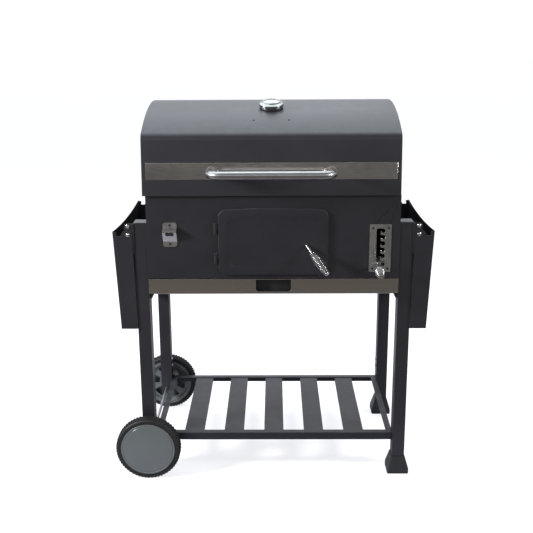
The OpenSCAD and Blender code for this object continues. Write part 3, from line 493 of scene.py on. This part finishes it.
def treaded_tyre(name, node, body, out):
    """A tyre with four staggered rows of tread blocks and a raised line on each sidewall."""
    low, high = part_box(node)
    radius = (high.z - low.z) / 2 / MM
    width = (high.y - low.y) / MM + TYRE_INSET
    steps = len(BLOCK_PROFILE)
    mesh = bmesh.new()
    rings = []
    for r, z, row in tyre_rings(radius, width):
        ring = []
        for k, angle in enumerate(round_angles(TREAD_BLOCKS * steps)):
            reach = r * MM
            if row is not None:
                stagger = (row % 2) * (steps // 2)
                reach = (r + TREAD_DEPTH * BLOCK_PROFILE[(k + stagger) % steps]) * MM
            ring.append(mesh.verts.new((reach * math.cos(angle), reach * math.sin(angle), z * MM)))
        rings.append(ring)
    skin(mesh, rings + rings[:1])
    bmesh.ops.recalc_face_normals(mesh, faces=mesh.faces)
    bmesh.ops.transform(mesh, matrix=axle_frame(node, out), verts=mesh.verts)
    made = piece(name, mesh, "tyre", body, [node])
    made.data.set_sharp_from_angle(angle=math.radians(PIECE_SHARP))


def sweep(path, radius, sides):
    """A tube of a given radius along points, as a bmesh, with domed ends."""
    dome = 0.6
    mesh = bmesh.new()
    rings = []
    last_side = None
    for i, p in enumerate(path):
        ahead = path[min(i + 1, len(path) - 1)] - path[max(i - 1, 0)]
        ahead.normalize()
        side = last_side - ahead * last_side.dot(ahead) if last_side else ahead.cross(Vector((0, 0, 1)))
        side.normalize()
        last_side = side
        other = ahead.cross(side)
        rings.append([mesh.verts.new(p + radius * (math.cos(a) * side + math.sin(a) * other))
                      for a in round_angles(sides)])
    skin(mesh, rings)
    for ring, point, outward in ((rings[0], path[0], path[0] - path[1]),
                                 (rings[-1], path[-1], path[-1] - path[-2])):
        tip = mesh.verts.new(point + outward.normalized() * radius * dome)
        for k in range(sides):
            mesh.faces.new((ring[(k + 1) % sides], ring[k], tip))
    bmesh.ops.recalc_face_normals(mesh, faces=mesh.faces)
    return mesh


def rod_line(node, cap):
    """Where a grip starts, its unit direction towards its cap, and its length, from the CAD meshes."""
    centre = middle(node)
    along = (middle(cap) - centre).normalized()
    reach = [(v.co - centre).dot(along) for v in NODES[node].data.vertices]
    return centre + along * min(reach), along, max(reach) - min(reach)


def barrel(share):
    """Outer radius of the coil's barrel that far along the grip, from 0 to 1."""
    return (COIL_END + COIL_BULGE * math.sin(math.pi * share)) * MM


def coil_grip(name, node, cap, body):
    """A wire wound into a barrel-shaped grip, its turns apart so that a black lining, painted shade inside
    the coil, shows between them.
    """
    start, along, length = rod_line(node, cap)
    wire = COIL_WIRE * MM
    pitch = COIL_PITCH * MM
    per_turn, wire_sides = 28, 10
    side = along.cross(Vector((0, 0, 1))).normalized()
    other = along.cross(side)
    turns = (length - 2 * wire) / pitch
    path = []
    for i in range(int(turns * per_turn) + 1):
        turn = i / per_turn
        s = wire + turn * pitch
        r = barrel(s / length) - wire
        a = 2 * math.pi * turn
        path.append(start + along * s + r * (math.cos(a) * side + math.sin(a) * other))
    # A black lining under the turns: painted shade inside the coil
    coil_core(name + "_shade_lining", start, along, length, body)
    made = piece(name, sweep(path, wire, wire_sides), "chrome", body, [node])
    # Duller than the rest of its slot
    give(made, "coil_steel")


def coil_core(name, start, along, length, body):
    """A black tube under the coil's turns, following the coil's barrel shape: painted shade inside the
    coil.
    """
    steps, sides = 24, 32
    depth = SHADE_LINING_DEPTH * MM
    bore = SHADE_LINING_BORE * MM
    profile = [(barrel(i / steps) - depth, depth + (length - 2 * depth) * i / steps)
               for i in range(steps + 1)]
    profile += [(bore, profile[-1][1]), (bore, profile[0][1])]
    mesh = bmesh.new()
    rings = [[mesh.verts.new((r * math.cos(a), r * math.sin(a), z)) for a in round_angles(sides)]
             for r, z in profile]
    skin(mesh, rings + rings[:1])
    bmesh.ops.recalc_face_normals(mesh, faces=mesh.faces)
    turn = along.to_track_quat("Z", "Y").to_matrix().to_4x4()
    bmesh.ops.transform(mesh, matrix=Matrix.Translation(start) @ turn, verts=mesh.verts)
    made = piece(name, mesh, "black_steel", body)
    made.data.set_sharp_from_angle(angle=math.radians(PIECE_SHARP))


def gauge_axes():
    """Origin at the dial's top face, +Z out of the dial, +Y away from the trolley's front."""
    centre = middle("thermometer_dial")
    up = (middle("thermometer_lens") - centre).normalized()
    across = Vector((1, 0, 0))
    away = up.cross(across).normalized()
    turn = Matrix((across, away, up)).transposed().to_4x4()
    return Matrix.Translation(centre + up * DIAL_HALF * MM) @ turn


def dial_angle(i, count):
    """The angle on the dial of mark i, where mark 0 starts the scale and mark count ends it."""
    return math.radians(DIAL_START - DIAL_SWEEP * i / count)


def dial_marks():
    """Raised printed ticks on the dial, longer at the numbers."""
    mesh = bmesh.new()
    place = gauge_axes()
    for i in range(DIAL_TICKS + 1):
        inner, outer, width = SHORT_TICK if i % TICKS_PER_NUMBER else LONG_TICK
        size = Matrix.Diagonal(((outer - inner) * MM, width * MM, TICK_DEPTH * MM, 1.0))
        spot = (Matrix.Rotation(dial_angle(i, DIAL_TICKS), 4, "Z")
                @ Matrix.Translation(((inner + outer) / 2 * MM, 0, TICK_DEPTH / 2 * MM)))
        bmesh.ops.create_cube(mesh, size=1.0, matrix=place @ spot @ size)
    piece("dial_ticks", mesh, "gasket", "hood")


def dial_numbers():
    """Plain numbers from 0 to 400 round the dial."""
    place = gauge_axes()
    radius = NUMBER_RADIUS * MM
    for i, number in enumerate(DIAL_NUMBERS):
        angle = dial_angle(i, len(DIAL_NUMBERS) - 1)
        text = bpy.data.curves.new(f"number_{number}", "FONT")
        text.body = str(number)
        text.size = NUMBER_SIZE * MM
        text.extrude = NUMBER_DEPTH * MM
        text.align_x = "CENTER"
        text.align_y = "CENTER"
        holder = bpy.data.objects.new(f"number_{number}", text)
        bpy.context.scene.collection.objects.link(holder)
        holder.matrix_world = place @ Matrix.Translation(
            (radius * math.cos(angle), radius * math.sin(angle), TICK_DEPTH / 2 * MM))
        bpy.context.view_layer.update()
        shape = bpy.data.meshes.new_from_object(holder.evaluated_get(bpy.context.evaluated_depsgraph_get()))
        shape.transform(holder.matrix_world)
        made = bpy.data.objects.new(f"dial_number_{number}", shape)
        bpy.context.scene.collection.objects.link(made)
        bpy.data.objects.remove(holder)
        give(made, "gasket")
        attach(made, "hood")


# ---------------------------------------------------------------- stage

# The floor as the object's surfaces see it: a pale sheet with these edges in metres, darker beyond
FLOOR_FAR = (0.118, 0.107, 0.096)
FLOOR_NEAR = (0.36, 0.36, 0.41)
SHEET_EDGES = (("X", -1.6, 1.6), ("Y", -0.62, 2.0))
SHEET_FADE = 0.12
# What the camera sees of it glows this much; its size in metres, and how far it lies below Z = 0 in mm
FLOOR_GLOW = 0.70
FLOOR_RADIUS = 60.0
FLOOR_DROP = 0.3

# The sky's light on the object, by direction: dim to bright from SKY_FRONT to SKY_BACK along Y
SKY_TINT = (0.95, 0.975, 1.0, 1.0)
SKY_FRONT, SKY_BACK = -0.5, 0.6
SKY_DIM, SKY_BRIGHT = 0.19, 1.15
# The band low behind the viewer: its light, and where it fades in, by direction
BAND_LIGHT = 0.9
BAND_EDGES = (("Z", 0.06, 0.20), ("Z", 0.60, 0.45), ("Y", -0.35, -0.60))

# The camera: its place in metres, its turns in degrees and its lens in mm
CAMERA_PLACE = (0.0138, -2.7239, 1.3987)
CAMERA_PAN, CAMERA_TILT, CAMERA_ROLL = 0.577, 74.703, -0.316
CAMERA_LENS, CAMERA_SENSOR = 56.68, 36.0

# The lamps: name, place, target, width and height in metres, watts and colour
SOFT_WHITE = (1.0, 0.985, 0.99)
DAYLIGHT = (0.83, 0.92, 1.0)
LAMPS = (
    ("side_left", (-2.45, -1.08, 1.75), (0, -0.2, 0.85), 0.45, 0.55, 125, SOFT_WHITE),
    ("side_right", (2.45, -1.08, 1.65), (0, -0.2, 0.85), 0.45, 0.55, 45, SOFT_WHITE),
    ("overhead", (-0.4, 0.7, 3.0), (-0.1, 0.1, 0.9), 3.6, 3.0, 76, DAYLIGHT),
)


def floor_material():
    """White to look at. The object's reflections see a pale sheet near it, on a darker floor."""
    look = Look("floor_white", Roughness=0.9, Emission_Color=(1.0, 1.0, 1.0, 1.0))
    edges = [(axis, edge, edge + inward) for axis, low, high in SHEET_EDGES
             for edge, inward in ((low, SHEET_FADE), (high, -SHEET_FADE))]
    sheet = look.window(look.axes(look.place), edges)
    seen = look.add("ShaderNodeLightPath").outputs["Is Camera Ray"]
    look.colour(look.blend(look.math("MAXIMUM", sheet, seen), FLOOR_FAR, FLOOR_NEAR))
    look.put(look.shader.inputs["Emission Strength"], look.math("MULTIPLY", seen, FLOOR_GLOW))
    return look.material


def make_floor():
    mesh = bmesh.new()
    bmesh.ops.create_circle(mesh, cap_ends=True, radius=FLOOR_RADIUS, segments=96,
                            matrix=Matrix.Translation((0, 0, -FLOOR_DROP * MM)))
    data = bpy.data.meshes.new("floor")
    mesh.to_mesh(data)
    mesh.free()
    floor = bpy.data.objects.new("floor", data)
    bpy.context.scene.collection.objects.link(floor)
    floor.data.materials.append(floor_material())


def area_light(name, place, target, width, height, power, colour):
    light = bpy.data.lights.new(name, "AREA")
    light.shape = "RECTANGLE"
    light.size, light.size_y = width, height
    light.energy = power
    light.color = colour
    holder = bpy.data.objects.new(name, light)
    bpy.context.scene.collection.objects.link(holder)
    holder.location = place
    holder.rotation_euler = (Vector(target) - Vector(place)).to_track_quat("-Z", "Y").to_euler()


def make_world():
    """A white backdrop. What lights the object is bright behind it and dim on the viewer's side, with a
    bright band low behind the viewer: the second highlight on tubes and coils."""
    world = bpy.data.worlds.new("studio")
    bpy.context.scene.world = world
    world.use_nodes = True
    shaders = Shaders(world.node_tree)
    sky = shaders.tree.nodes["Background"]
    axes = shaders.axes(shaders.add("ShaderNodeTexCoord").outputs["Generated"])
    ramp = shaders.spread(axes["Y"], SKY_FRONT, SKY_BACK, SKY_DIM, SKY_BRIGHT)
    light = shaders.math("ADD", ramp, shaders.window(axes, BAND_EDGES, BAND_LIGHT))
    seen = shaders.add("ShaderNodeLightPath").outputs["Is Camera Ray"]
    sky.inputs["Color"].default_value = SKY_TINT
    shaders.put(sky.inputs["Strength"], shaders.math("MAXIMUM", light, seen))


def make_camera():
    data = bpy.data.cameras.new("camera")
    data.sensor_width = CAMERA_SENSOR
    data.lens = CAMERA_LENS
    data.clip_start, data.clip_end = 0.05, 100.0
    camera = bpy.data.objects.new("camera", data)
    bpy.context.scene.collection.objects.link(camera)
    turn = (Matrix.Rotation(math.radians(CAMERA_PAN), 4, "Z")
            @ Matrix.Rotation(math.radians(CAMERA_TILT), 4, "X")
            @ Matrix.Rotation(math.radians(CAMERA_ROLL), 4, "Z"))
    camera.matrix_world = Matrix.Translation(CAMERA_PLACE) @ turn
    bpy.context.scene.camera = camera


def make_stage():
    make_camera()
    make_world()
    make_floor()
    for lamp in LAMPS:
        area_light(*lamp)
    bpy.context.scene.view_settings.view_transform = "Standard"


make_stage()
dress_nodes()
treaded_tyre("front_tyre_tread", "front_tyre", "front_wheel", -1)
treaded_tyre("rear_tyre_tread", "rear_tyre", "rear_wheel", 1)
coil_grip("latch_coil", "latch_grip", "latch_cap", "latch")
coil_grip("lever_coil", "lever_grip", "lever_cap", "lever")
dial_marks()
dial_numbers()
